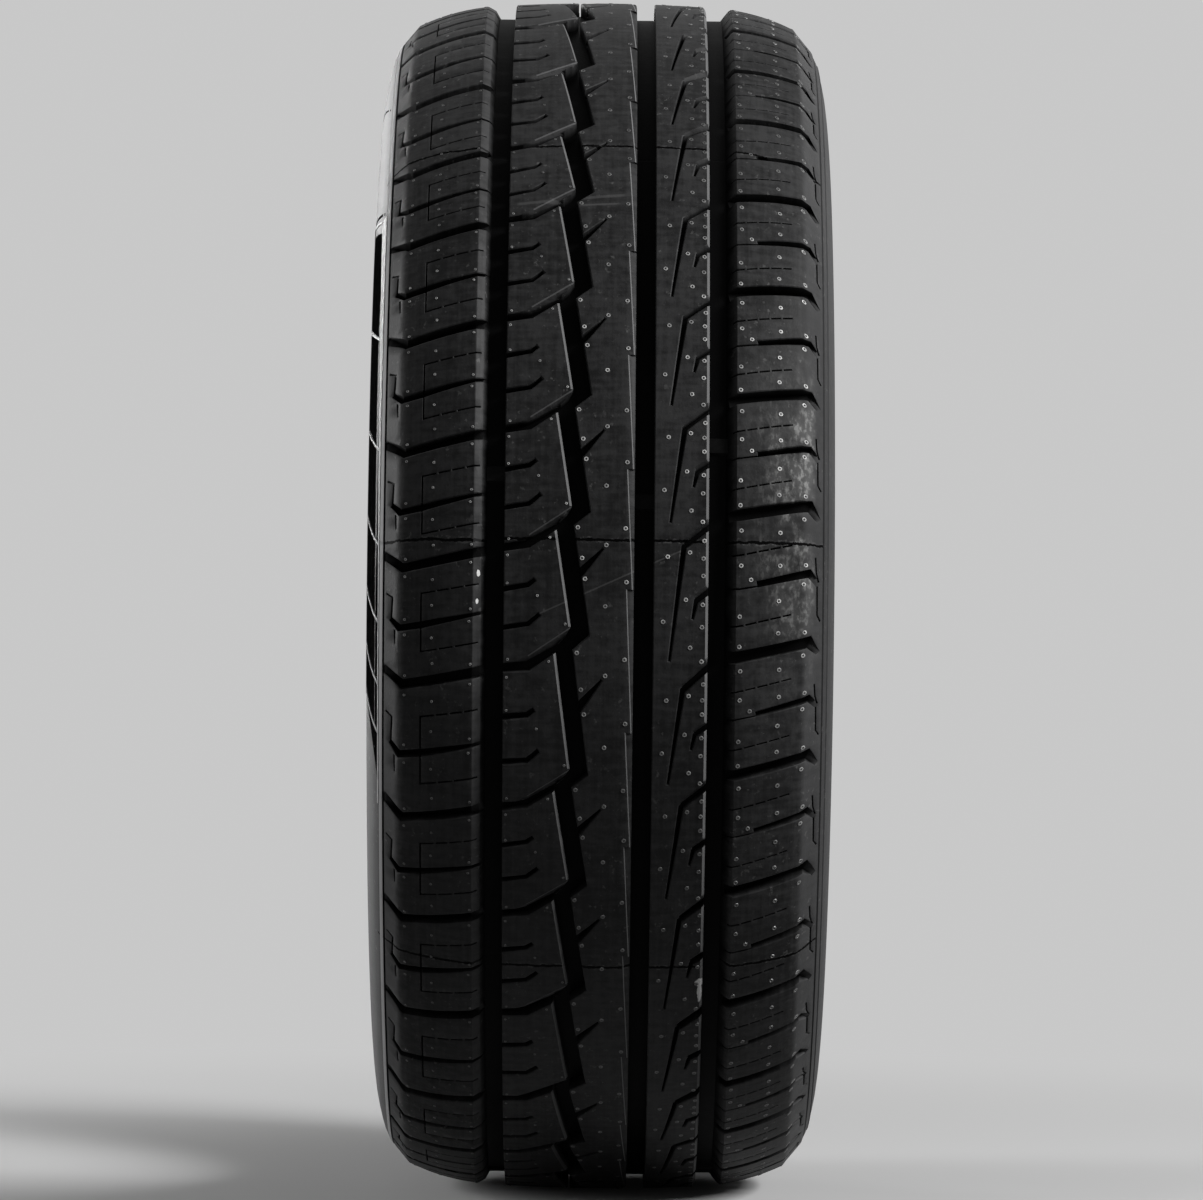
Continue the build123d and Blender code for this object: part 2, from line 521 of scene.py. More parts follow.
def wall_triangles(sheets, sheet_of, sides):
    """Walls between sheets of different depth, where two faces meet at a side."""
    stacks = {}
    for (corner, _), sheet in sheet_of.items():
        stacks.setdefault(corner, set()).add(sheet)
    for corner in stacks:
        stacks[corner] = sorted(stacks[corner], key=lambda sheet: sheets[sheet][2])

    def column(left, right):
        """Sheets at one end of a side, top first, and the steps down from left to right."""
        stack = stacks[left[2]]
        start, end = stack.index(left[0]), stack.index(right[0])
        return [(sheet, left[1]) for sheet in stack[min(start, end):max(start, end) + 1]], end - start

    def next_depth(chain, index):
        return sheets[chain[index + 1][0]][2] if index < len(chain) - 1 else math.inf

    made = []
    for pair in sides.values():
        if len(pair) != 2:
            continue
        (left_start, left_end), (right_end, right_start) = pair
        if left_start[0] == right_start[0] and left_end[0] == right_end[0]:
            continue
        near, near_fall = column(left_start, right_start)
        far, far_fall = column(left_end, right_end)
        strip = []
        i = j = 0
        while i < len(near) - 1 or j < len(far) - 1:
            if next_depth(near, i) <= next_depth(far, j):
                strip.append([near[i], near[i + 1], far[j]])
                i += 1
            else:
                strip.append([near[i], far[j + 1], far[j]])
                j += 1
        if near_fall + far_fall < 0:
            strip = [triangle[::-1] for triangle in strip]
        made += strip
    return made


def tread_template():
    """Mesh of one pitch: sheets, triangles of (sheet, pitches on) and the painted highlights of triangles."""
    placed = placed_cuts()
    corners, faces, middles = flat_mesh(*drawn_lines(placed))
    stand_in, later = joined_ends(corners, faces)
    depths, shines = face_depths(placed, corners, faces, middles)
    sheets, sheet_of = stacked_sheets(placed, corners, faces, depths, stand_in)

    triangles, sides = [], {}
    for face, row in zip(faces, depths):
        found = []
        for corner, depth in zip(face, row):
            point = int(stand_in[corner])
            found.append((sheet_of[point, round(float(depth), depth_digits)], int(later[corner]), point))
        triangles.append([corner[:2] for corner in found])
        for start, end in zip(found, found[1:] + found[:1]):
            if start[1] and end[1]:
                start, end = (start[0], 0, start[2]), (end[0], 0, end[2])
            key = (min(start[2], end[2]), max(start[2], end[2]))
            sides.setdefault(key, []).append((start, end))
    triangles += wall_triangles(sheets, sheet_of, sides)
    shines = np.pad(shines, (0, len(triangles) - len(shines)))
    return np.array(sheets), np.array(triangles), shines


# Angles of the zigzag's tips, upwards, with a pitch more below and two more above
pitch_total = sum(pitch_lengths[name] for name in pitch_order)
turns = [360 * pitch_lengths[name] / pitch_total for name in reversed(pitch_order)]
tips = first_tip_angle - 360 + np.concatenate([[0], np.cumsum(turns)])
tips = np.concatenate([[tips[0] - turns[-1]], tips, tips[-1] + np.cumsum(turns[:2])])


def angle_at(pitch_index, y, s):
    """Angle up from the front, in radians, of a place in a pitch."""
    rise = np.interp(y, slant_places, slant_rises)
    along = np.interp(pitch_index + (s - rise) / pitch, np.arange(-1, pitch_count + 3), tips)
    return np.radians(along + rise / pitch * 360 / pitch_total)


def placed_at(y, radius, angle):
    """Points in metres, with the foot pressed flat and nothing outside the box of the solid."""
    x = radius * np.cos(angle)
    z = np.maximum(radius * np.sin(angle), foot_flat - outer_radius)
    return np.clip(np.stack([x, y + 0 * x, z], axis=-1) / 1000, cad_box[0], cad_box[1])


def split_quads(first, second, third, fourth):
    """Triangles of quads, from the numbers of their corners."""
    return [np.stack([first, second, third], axis=1), np.stack([first, third, fourth], axis=1)]


def linked(name, data):
    """A new object in the scene."""
    made = bpy.data.objects.new(name, data)
    bpy.context.scene.collection.objects.link(made)
    return made


def mesh_object(name, patches, material, groove=None, shine=None):
    """An object from patches of (points, triangles), with a painted shade of points and a painted highlight
    of faces.
    """
    starts = np.cumsum([0] + [len(points) for points, _ in patches])
    points = np.concatenate([points for points, _ in patches]).astype(np.float32)
    triangles = np.concatenate([faces + start for (_, faces), start in zip(patches, starts)])
    mesh = bpy.data.meshes.new(name)
    mesh.vertices.add(len(points))
    mesh.vertices.foreach_set("co", points.ravel())
    mesh.loops.add(triangles.size)
    mesh.loops.foreach_set("vertex_index", triangles.astype(np.int32).ravel())
    mesh.polygons.add(len(triangles))
    mesh.polygons.foreach_set("loop_start", np.arange(0, triangles.size, 3, dtype=np.int32))
    for label, domain, values in (("groove", "POINT", groove), ("shine", "FACE", shine)):
        if values is not None:
            layer = mesh.attributes.new(label, "FLOAT", domain)
            layer.data.foreach_set("value", values.astype(np.float32))
    mesh.update(calc_edges=True)
    mesh.validate()
    mesh.shade_smooth()
    mesh.set_sharp_from_angle(angle=math.radians(sharp_angle))
    mesh.materials.append(material)
    return linked(name, mesh)


# Section of a side as (lateral place, radius), from the tread edge round the bead to the liner
outer_side = [
    (111.7, 293.7), (112.9, 291.2), (114.2, 286.8), (115.5, 281.6), (116.6, 276.0), (117.4, 270.0),
    (117.9, 264.5), (118.0, 259.8), (117.6, 254.8), (116.4, 250.0), (114.9, 246.4), (114.7, 244.6),
    (113.6, 243.0), (111.6, 241.4), (109.0, 238.0), (103.6, 230.0),
]
bead = [(101.5, 225.0), (100.6, 222.0), (98.8, 219.4), (96.5, 218.3), (84.5, 218.3), (83.3, 219.2)]
liner = [
    (87.0, 227.6), (94.0, 238.8), (106.6, 259.0), (107.9, 265.0), (105.5, 272.0), (99.0, 280.0),
    (82.0, 297.8), (75.5, 302.2), (66.0, 304.3), (50.0, 304.65),
]

# The right side also has a line at the tread edge and a low rib under it
right_edge_start = (110.8, 296.2)
right_edge_line = [(110.6, 295.4), (109.7, 294.9), (110.6, 294.1)]
right_rib = [(113.35, 289.7), (113.95, 289.3), (114.15, 288.5), (113.8, 288.1)]
left_side = [(-y, radius) for y, radius in outer_side + bead + liner]
right_side = [right_edge_start] + right_edge_line + outer_side[:2] + right_rib + outer_side[2:] + bead + liner
section = left_side + right_side[::-1]


def tyre_mesh(material):
    """The whole tyre as one closed mesh."""
    sheets, triangles, shines = tread_template()
    y, s, depth = sheets.T
    count = len(sheets)
    pitches = np.arange(pitch_count)[:, None]
    angles = angle_at(pitches, y[None], s[None])
    radii = tread_radius(y) - depth
    points = placed_at(np.broadcast_to(y, angles.shape), radii[None], angles).reshape(-1, 3)
    index = (pitches[:, :, None] + triangles[None, :, :, 1]) % pitch_count * count + triangles[None, :, :, 0]
    index = index.reshape(-1, 3)

    # Rings that close the tyre from one tread edge to the other
    rims, rim_angles = [], []
    for place in (-tread_edge, tread_edge):
        at_rim = np.flatnonzero(np.abs(y - place) < same_place)
        at_rim = at_rim[np.argsort(s[at_rim])]
        rims.append((pitches * count + at_rim[None]).ravel())
        rim_angles.append(angles[:, at_rim].ravel())
    around = len(rims[0])
    shares = np.linspace(0, 1, len(section))
    rings = [
        placed_at(place, radius, rim_angles[0] + (rim_angles[1] - rim_angles[0]) * share)
        for (place, radius), share in zip(section, shares)
    ]
    first = len(points)
    points = np.concatenate([points] + rings)
    ring_rows = first + np.arange(len(section) * around).reshape(-1, around)
    rows = [rims[0], *ring_rows, rims[1]]
    strips = []
    for here, there in zip(rows[:-1], rows[1:]):
        strips += split_quads(here, np.roll(here, -1), np.roll(there, -1), there)
    index = np.concatenate([index] + strips)

    # Shade of the cuts and of the lines at the edges, apart from the bright slope at the left groove
    on_slope = (y > left_groove[0] - slope_margin) & (y < left_slope_end + slope_margin)
    cut_shade = np.where(on_slope, 0, np.clip((depth - shade_start) / shade_run, 0, 1))
    on_line = (y > left_edge_line[0] - edge_line_margin) & (y < left_edge_line[1] + edge_line_margin)
    cut_shade = np.where(on_line & (depth > line_shade_start), 1, cut_shade)
    ring_shade = [1.0 if point in right_edge_line else 0.0 for point in section]
    groove = np.concatenate([np.tile(cut_shade, pitch_count), np.repeat(ring_shade, around)])
    shine = np.pad(np.tile(shines, pitch_count), (0, len(index) - len(shines) * pitch_count))
    return mesh_object("tyre_rubber", [(points, index)], material, groove, shine)


# Marks of the pins that vent the mould: places in a pitch, and rings of (size, lift) round a dimple
vent_places = [
    (-64.5, 40.6), (-64.7, 31.6), (-64.7, 8.3), (-65.3, 2.1), (-83.5, 40.3), (-83.7, 22.8), (-84, 9.8),
    (-84, -6.7), (-97.3, 33.3), (-97.5, 24.3), (-97.5, 2.3), (-97.5, -5.7),
    (-46.5, 35.3), (-46, 43.4), (-46.5, 21.4), (-31.5, 15.3), (-25.5, 44.3), (-17.5, 1.3),
    (-11.7, 49.3), (12, 49), (2.5, 40.6), (-9.5, 34.1), (-7.9, 23.8), (12.6, 22.3), (2.3, 10.3),
    (33, 35.5), (31, 8.5), (44, 37.8), (42.2, 18.1), (44.5, -1.7), (51.2, 43.3), (50.8, 35.6), (50.8, 28.4),
    (50.6, 16.4), (50.3, 7.1), (50.2, -7.2),
    (69.5, 50.2), (69.5, 35.5), (74.5, 29.8), (69, 14.2), (68.9, 1.6), (89, 50.5), (89, 36.5), (88.5, 21.5),
    (88.3, 7.8), (102, 37.6), (101, 29.2), (101.7, 8.4), (101, -2.6),
]
vent_rings = [(1.05, -0.15), (0.86, 0.24), (0.52, 0.24), (0.44, 0.06)]
vent_middle_lift = 0.14
vent_sides = 8
left_vents_end = -14
left_vent_size = 0.7
right_vent_size = 1.2


def vent_marks(material):
    """A low ring with a dimple for each pin."""
    side = np.arange(vent_sides)
    ahead = (side + 1) % vent_sides
    turn = 2 * math.pi * side / vent_sides
    sizes, lifts = np.array(vent_rings).T
    ring_y = np.append(np.outer(sizes, np.cos(turn)), 0.0)
    ring_s = np.append(np.outer(sizes, np.sin(turn)), 0.0)
    lifts = np.append(np.repeat(lifts, vent_sides), vent_middle_lift)
    starts = vent_sides * np.arange(len(vent_rings))
    faces = []
    for low, high in zip(starts[:-1], starts[1:]):
        faces += split_quads(low + side, low + ahead, high + ahead, high + side)
    last = starts[-1]
    faces.append(np.stack([last + side, last + ahead, np.full(vent_sides, last + vent_sides)], axis=1))
    faces = np.concatenate(faces)
    patches = []
    for y, s in vent_places:
        size = left_vent_size if y < left_vents_end else right_vent_size
        across = y + size * ring_y
        for pitch_index in range(pitch_count):
            angles = angle_at(pitch_index, y, s) + size * ring_s / outer_radius
            patches.append((placed_at(across, tread_radius(across) + lifts, angles), faces))
    # Painted shade: the middle of each dimple is marked to be painted black.
    dimple = np.zeros(len(ring_y))
    dimple[last:] = 1
    return mesh_object("vent_marks", patches, material, np.tile(dimple, len(patches)))


# Wear bars: both ends across and the angle of the first one in each groove, and their profile along it
bar_places = [(-57.4, -47.9, 11.0), (16.2, 26.3, 8.55), (53.0, 62.6, 13.8)]
bars_per_groove = 4
bar_profile_along = np.array([-4.6, -3.4, 3.4, 4.6])
bar_profile_height = np.array([-0.3, 1.6, 1.6, -0.3])


def wear_bars(material):
    """Low bars across the floors of the straight grooves."""
    corners = len(bar_profile_along)
    start = np.arange(corners - 1)
    faces = np.concatenate(split_quads(start, start + corners, start + corners + 1, start + 1))
    patches = []
    for left, right, first_angle in bar_places:
        for turn in range(bars_per_groove):
            middle = math.radians(first_angle + 360 / bars_per_groove * turn)
            angles = middle + bar_profile_along / groove_floor
            ends = [placed_at(y, groove_floor + bar_profile_height, angles) for y in (left, right)]
            patches.append((np.concatenate(ends), faces))
    return mesh_object("wear_bars", patches, material)


# Band of cells on the left sidewall painted dark as shade, framed by thin bars with a painted highlight.
# Lengths round the sidewall are in degrees
band_top = 42.5
cell_count = 7
first_cell = 14.7
first_inset = 1.5
cell_shrink = 0.8
last_cell_stretch = 1.6
last_cell_taper = 0.94
cell_inner = 269.0
cell_outer_top = 290.6
cell_outer_foot = 295.2
cell_outer_run = 42
cell_lift = 0.12
cell_columns = 6
cell_rows = 9
long_bar_rows = 60
bar_slant = 3.6
bar_half_width = 0.16
bar_overhang = 1.2
bar_lift = 0.45
inner_bar_start = cell_inner - 1.6
inner_bar_width = 1.5
inner_bar_share = 0.95
outer_bar_end = 296.3
outer_bar_share = 1.06
outer_bar_lift = 0.3
skirt_depth = 0.3
least_area = 1e-12

# Thin lines over the band painted dark as shade: rise above its top and slant, in degrees
side_lines = [(0.75, bar_slant), (21.5, 9.0)]
side_line_half_width = 0.2
side_line_end = 293.0

side_radii = [radius for _, radius in reversed(outer_side)] + [outer_radius - edge_drop]
side_places = [y for y, _ in reversed(outer_side)] + [tread_edge]


def raised(angles, radii, height):
    """A raised patch of the left sidewall, with a sunk skirt round it."""
    lifts = np.pad(np.full(angles.shape, height), 1, constant_values=-skirt_depth)
    angles = np.pad(angles, 1, mode="edge")
    radii = np.pad(radii, 1, mode="edge")
    y = -(np.interp(radii, side_radii, side_places) + lifts)
    points = placed_at(y, radii, np.radians(angles)).reshape(-1, 3)
    number = np.arange(len(points)).reshape(angles.shape)
    quads = (number[:-1, :-1], number[1:, :-1], number[1:, 1:], number[:-1, 1:])
    faces = np.concatenate(split_quads(*[corner.ravel() for corner in quads]))
    runs = points[faces[:, 1:]] - points[faces[:, :1]]
    areas = np.linalg.norm(np.cross(runs[:, 0], runs[:, 1]), axis=1)
    return points, faces[areas > least_area]


def cell_grid(columns, rows, low=0.0, high=1.0):
    """Grids of shares across a cell and of places down it."""
    return np.meshgrid(np.linspace(0, 1, columns), np.linspace(low, high, rows))


def cell_outer(below):
    """Outer radius of the cells at an angle below the top of their band."""
    return np.interp(below, [0, cell_outer_run], [cell_outer_top, cell_outer_foot])


def side_band():
    """Patches of the cells painted dark as shade and of the bars with a painted highlight, twice round the
    sidewall.
    """
    cells, bars = [], []
    for start in (band_top, band_top + 180):
        top = start
        for index in range(cell_count):
            length = first_cell * cell_shrink ** index
            last = index == cell_count - 1
            inset = first_inset if index == 0 else bar_half_width
            reach = length * (last_cell_stretch if last else 1) - inset - bar_half_width
            across, down = cell_grid(cell_columns, cell_rows)
            angles = top + bar_slant * (0.5 - across) - inset - reach * down
            outer = cell_outer(start - angles)
            radii = cell_inner + (outer - cell_inner) * across
            if last:
                radii = radii + (outer - radii) * down * last_cell_taper
            cells.append(raised(angles, radii, cell_lift))

            across, down = cell_grid(cell_columns, 2, -bar_half_width, bar_half_width)
            angles = top + bar_slant * (0.5 - across) - down
            inner = cell_inner - bar_overhang
            bars.append(raised(angles, inner + (cell_outer(start - angles) - inner) * across, bar_lift))
            top -= length
        for rise, slant in side_lines:
            across, down = cell_grid(cell_columns, 2, -side_line_half_width, side_line_half_width)
            angles = start + rise + slant * (0.5 - across) - down
            cells.append(raised(angles, cell_inner + (side_line_end - cell_inner) * across, cell_lift))

        # Long bars along the inner and the outer ends of the cells
        across, down = cell_grid(2, long_bar_rows)
        angles = start + bar_slant / 2 - (start - top) * inner_bar_share * down
        bars.append(raised(angles, inner_bar_start + inner_bar_width * across, bar_lift))
        angles = start - bar_slant / 2 - (start - top) * outer_bar_share * down
        outer = cell_outer(start - angles)
        bars.append(raised(angles, outer + (outer_bar_end - outer) * across, outer_bar_lift))
    return cells, bars


# Node trees
class Value:
    """A value in a node tree, used like a number beside other values and numbers."""

    def __init__(self, node, output=0):
        self.tree = node.id_data
        self.socket = node.outputs[output]

    def through(self, operation, *others):
        """Result of a math node."""
        node = self.tree.nodes.new("ShaderNodeMath")
        node.operation = operation
        for entry, value in zip(node.inputs, (self, *others)):
            feed(entry, value)
        return Value(node)

    __add__ = partialmethod(through, "ADD")
    __sub__ = partialmethod(through, "SUBTRACT")
    __mul__ = partialmethod(through, "MULTIPLY")
    or_more = partialmethod(through, "MAXIMUM")

    def fade(self, low, high):
        """Nought before low and one beyond high, where low may also be the larger."""
        node = node_at(self.tree, "ShaderNodeMapRange", Value=self, From_Min=low, From_Max=high)
        node.interpolation_type = "SMOOTHSTEP"
        return Value(node)

    def between(self, low, high):
        """Low where this is nought and high where it is one."""
        return Value(node_at(self.tree, "ShaderNodeMapRange", Value=self, To_Min=low, To_Max=high))

    def mixed(self, first, second):
        """The first colour where this is nought and the second where it is one."""
        node = self.tree.nodes.new("ShaderNodeMix")
        node.data_type = "RGBA"
        feed(node.inputs["Factor"], self)
        entries = [entry for entry in node.inputs if entry.type == "RGBA"]
        for entry, colour in zip(entries, (first, second)):
            feed(entry, colour if isinstance(colour, Value) else (*colour, 1))
        return Value(node, [socket.type for socket in node.outputs].index("RGBA"))

    def noise(self, scale, detail, stretch=(1, 1, 1)):
        """Noise at this place, with a scale to the metre for each axis."""
        mapping = node_at(self.tree, "ShaderNodeMapping", Vector=self, Scale=stretch)
        node = node_at(self.tree, "ShaderNodeTexNoise", Scale=scale, Detail=detail, Roughness=0.6)
        feed(node.inputs["Vector"], Value(mapping))
        return Value(node)


def feed(entry, value):
    """Give an input of a node a value, a number or a colour."""
    if isinstance(value, Value):
        value.tree.links.new(value.socket, entry)
    else:
        entry.default_value = value


def node_at(tree, kind, **inputs):
    """A new node with some of its inputs given."""
    node = tree.nodes.new(kind)
    for name, value in inputs.items():
        feed(node.inputs[name.replace("_", " ")], value)
    return node


def object_place(tree):
    """Place of a point in the frame of its object."""
    return Value(tree.nodes.new("ShaderNodeTexCoord"), "Object")


def attribute(tree, name):
    """Value of a mesh attribute, nought where the mesh has none."""
    node = tree.nodes.new("ShaderNodeAttribute")
    node.attribute_name = name
    return Value(node, "Fac")


def seen_directly(tree):
    """One for the rays of the camera and of reflections, nought for those that light the scene."""
    rays = tree.nodes.new("ShaderNodeLightPath")
    names = ("Is Camera Ray", "Is Glossy Ray", "Is Transmission Ray")
    return reduce(Value.or_more, [Value(rays, name) for name in names])


def show_mixed(tree, kind, share, first, second):
    """Show a mix of two shaders by a share, in an output node of a kind."""
    node = tree.nodes.new("ShaderNodeMixShader")
    for entry, value in zip(node.inputs, (share, Value(first), Value(second))):
        feed(entry, value)
    feed(tree.nodes.new(kind).inputs[0], Value(node))


# The tread lies outside a radius that falls over the shoulders
shoulder_start = 0.082
shoulder_fall = 0.39
tread_range = (0.3051, 0.3061)

# Places where looks of the rubber begin and are full, and how the noise of the dust is stretched
facet_range = (0.100, 0.103)
right_side_range = (0.110, 0.111)
dust_left_range = (0.070, 0.098)
dust_right_range = (0.1075, 0.1045)
dust_low_range = (-0.07, 0.04)
dust_high_range = (0.13, 0.075)
dust_front_range = (0.1, 0.2)
dust_stretch = (0.7, 1.2, 1)
darkening_low_range = (0.05, -0.16)
darkening_high_range = (0.12, 0.24)

# Colours of the rubber, with the painted highlights and painted shade on it
tread_black = (0.009, 0.009, 0.0092)
tread_grey = (0.033, 0.033, 0.0335)
facet_grey = (0.06, 0.06, 0.061)
dust_grey = (0.21, 0.21, 0.207)
smear_white = (0.86, 0.86, 0.85)
scratch_grey = (0.12,) * 3
painted_lip_highlight = (0.07,) * 3
line_black = (0.001,) * 3
painted_highlight_grey = (0.25, 0.25, 0.252)
painted_groove_black = (0.0035, 0.0035, 0.0036)
top_and_foot_black = (0.02,) * 3
painted_dimple_black = (0.002,) * 3

# White smears: lateral place, distance along from the front, half width and half length, in metres
smears = [
    (0.0519, -0.2112, 0.0024, 0.0027), (0.0519, -0.2185, 0.0013, 0.0056),
    (-0.0608, 0.0108, 0.0009, 0.0018), (-0.0614, -0.0033, 0.0007, 0.0014),
]

# Long pale scratches: slope, place along at the middle of the tyre, both ends across, half width and strength
scratches = [
    (0.454, 0.0046, -0.034, 0.046, 0.0006, 0.4), (0.108, 0.2187, -0.046, 0.013, 0.0013, 0.32),
    (0.06, 0.2135, -0.014, 0.010, 0.0008, 0.4),
]
scratch_start_run = 0.004
scratch_end_run = 0.005

# Lines where the parts of the mould meet: angle and step in degrees, half widths in radians
parting_angle = 4.9
parting_step = 40.6
parting_line_range = (0.0027, 0.0017)
parting_highlight_range = (0.0056, 0.0034)


class TyrePlace:
    """Values that say where a point of the tyre is."""

    def __init__(self, tree):
        self.object = object_place(tree)
        split = node_at(tree, "ShaderNodeSeparateXYZ", Vector=self.object)
        self.x, self.y, self.z = [Value(split, axis) for axis in "XYZ"]
        self.aside = self.y.through("ABSOLUTE")
        self.angle = self.z.through("ARCTAN2", self.x)
        self.along = self.angle * (outer_radius / 1000)
        self.unrolled = Value(node_at(tree, "ShaderNodeCombineXYZ", X=self.along, Y=self.y))
        radius = (self.x * self.x + self.z * self.z).through("SQRT")
        over = (self.aside - shoulder_start).or_more(0.0)
        self.on_tread = (over * shoulder_fall + radius).fade(*tread_range)


def uneven_share(place):
    """How light the black is."""
    cloud = place.object.noise(16.0, 6.0)
    streaks = place.object.noise(14.0, 4.0, (1, 26, 1))
    scuffs = (place.unrolled.noise(260.0, 6.0, (1, 0.16, 1)) - 0.5) * place.on_tread + 0.5
    mottle = place.object.noise(240.0, 6.0)
    return cloud * 0.25 + streaks * 0.2 + scuffs * 0.3 + mottle * 0.25


def dust_share(place):
    """Pale dust: thin specks all over, and thick flecks on the right shoulder."""
    specks = place.object.noise(330.0, 8.0).fade(0.6, 0.68)
    patches = place.object.noise(30.0, 4.0).fade(0.42, 0.6)
    chalk = place.unrolled.noise(330.0, 10.0, dust_stretch).fade(0.46, 0.64)
    clumps = place.unrolled.noise(60.0, 4.0, dust_stretch).fade(0.38, 0.6)
    right = place.y.fade(*dust_left_range) * place.y.fade(*dust_right_range)
    height = place.z.fade(*dust_low_range) * place.z.fade(*dust_high_range)
    front = place.x.fade(*dust_front_range) * place.on_tread
    thick = right * height * front * (chalk * 0.78 + 0.22) * clumps
    return (specks * patches * 0.28).or_more(thick)


def smear_share(place):
    """White smears with ragged edges."""
    ragged = place.object.noise(420.0, 4.0) * 1.6 - 0.8
    spots = []
    for y, along, half_width, half_length in smears:
        across = (place.y - y) * (1 / half_width)
        down = (place.along - along) * (1 / half_length)
        spots.append((across * across + down * down + ragged).fade(1.1, 0.7))
    return reduce(Value.or_more, spots) * place.on_tread


def scratch_share(place, slope, middle, start, end, half_width, strength):
    """One long scratch that fades out at both ends."""
    offset = place.y * -slope - middle + place.along
    beside = offset.through("ABSOLUTE").fade(half_width, half_width / 3)
    first = place.y.fade(start, start + scratch_start_run)
    last = place.y.fade(end, end - scratch_end_run)
    return beside * first * last * strength * place.on_tread


def parting_shares(place):
    """Lines where the parts of the mould meet, and the broken painted highlights of the lips along them."""
    fray = place.object.noise(420.0, 3.0) * 0.006 - (0.009 + math.radians(parting_angle))
    wander = place.object.noise(45.0, 6.0) * 0.012 + fray
    apart = (place.angle + wander).through("PINGPONG", math.radians(parting_step / 2))
    broken = place.object.noise(380.0, 4.0).fade(0.52, 0.64)
    line = apart.fade(*parting_line_range) * place.on_tread
    return line, apart.fade(*parting_highlight_range) * broken * place.on_tread


def new_rubber(name):
    """A material, its node tree and the inputs of its shader."""
    material = bpy.data.materials.new(name)
    material.use_nodes = True
    return material, material.node_tree, material.node_tree.nodes["Principled BSDF"].inputs


def rubber(name):
    """Moulded rubber of the tread and sidewalls."""
    material, tree, shader = new_rubber(name)
    place = TyrePlace(tree)
    painted_groove_share = attribute(tree, "groove")
    uneven = uneven_share(place)
    line, lip_highlight_share = parting_shares(place)

    # The facets at the tread edges and the sidewalls are a little lighter than the tread
    colour = uneven.fade(0.4, 0.6).mixed(tread_black, tread_grey)
    colour = (place.aside.fade(*facet_range) * 0.5).mixed(colour, facet_grey)
    colour = dust_share(place).mixed(colour, dust_grey)
    colour = smear_share(place).mixed(colour, smear_white)
    for scratch in scratches:
        colour = scratch_share(place, *scratch).mixed(colour, scratch_grey)
    # Painted highlight along the broken lips beside the mould lines.
    colour = lip_highlight_share.mixed(colour, painted_lip_highlight)
    colour = line.mixed(colour, line_black)
    # Painted highlight: the shine attribute paints the bevels, the left groove's slope and the strip outside
    # the left edge line pale grey.
    colour = attribute(tree, "shine").mixed(colour, painted_highlight_grey)
    # Painted shade: the groove attribute paints the cuts and the lines at the tread edges near-black.
    feed(shader["Base Color"], painted_groove_share.mixed(colour, painted_groove_black))

    # Cuts, mould lines and the right sidewall reflect the least
    matt = painted_groove_share.or_more(line).or_more(place.y.fade(*right_side_range))
    feed(shader["Specular IOR Level"], matt.between(0.09, 0.02))
    feed(shader["Roughness"], uneven.between(0.4, 0.62))
    grain = line * -3.0 + place.object.noise(900.0, 3.0)
    bump = node_at(tree, "ShaderNodeBump", Strength=0.3, Distance=0.0003, Height=grain)
    feed(shader["Normal"], Value(bump))
    return material


def plain_rubber(name, dark, light, roughness, specular, top_and_foot_darkening=0.0):
    """Rubber between two colours, darker by a share towards the top and foot of the tyre."""
    material, tree, shader = new_rubber(name)
    place = TyrePlace(tree)
    colour = place.object.noise(260.0, 4.0).fade(0.35, 0.65).mixed(dark, light)
    away = place.z.fade(*darkening_low_range).or_more(place.z.fade(*darkening_high_range))
    colour = (away * top_and_foot_darkening).mixed(colour, top_and_foot_black)
    # Painted shade: the middles of the dimples are painted near-black.
    feed(shader["Base Color"], attribute(tree, "groove").mixed(colour, painted_dimple_black))
    feed(shader["Roughness"], roughness)
    feed(shader["Specular IOR Level"], specular)
    return material


def dressed(made):
    """Fix a small piece to the tyre."""
    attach(made, "root")


tread_rubber = rubber("tread_rubber")
# Vent marks: their pale colour is a painted highlight, dimmed towards the top and foot of the tyre.
vent_highlight_paint = plain_rubber(
    "vent_painted_highlight", (0.26,) * 3, (0.64, 0.64, 0.63), roughness=0.36, specular=0.5, top_and_foot_darkening=0.84,
)
# Wear bars: painted shade, darker than the tread rubber like the painted floors of the cuts.
bar_painted_shade = plain_rubber("bar_painted_shade", (0.004,) * 3, (0.008,) * 3, roughness=0.6, specular=0.05)
# Sidewall band cells: matt, with a near-black colour that is painted shade.
cell_painted_shade = plain_rubber("cell_painted_shade", (0.002,) * 3, (0.004,) * 3, roughness=0.9, specular=0.0)
# Sidewall band bars: their pale colour is a painted highlight.
frame_painted_highlight = plain_rubber("frame_painted_highlight", (0.24,) * 3, (0.36,) * 3, roughness=0.5, specular=0.1)

tyre = tyre_mesh(tread_rubber)
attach(tyre, "root")
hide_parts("tyre")
dressed(vent_marks(vent_highlight_paint))
dressed(wear_bars(bar_painted_shade))
band_cells, band_bars = side_band()
dressed(mesh_object("side_cells", band_cells, cell_painted_shade))
dressed(mesh_object("side_bars", band_bars, frame_painted_highlight))

# Studio. The floor is darker to the rays that light the tyre, and turns into the backdrop over a range
backdrop_grey = (0.58,) * 3
floor_grey = (0.55,) * 3
floor_bounce = (0.12,) * 3
floor_range = (0.3, 1.1)
floor_reach = 20
floor_sides = 96
world_light = 0.05


def cleared_tree(owner):
    """The empty node tree of a material or world."""
    owner.use_nodes = True
    owner.node_tree.nodes.clear()
    return owner.node_tree


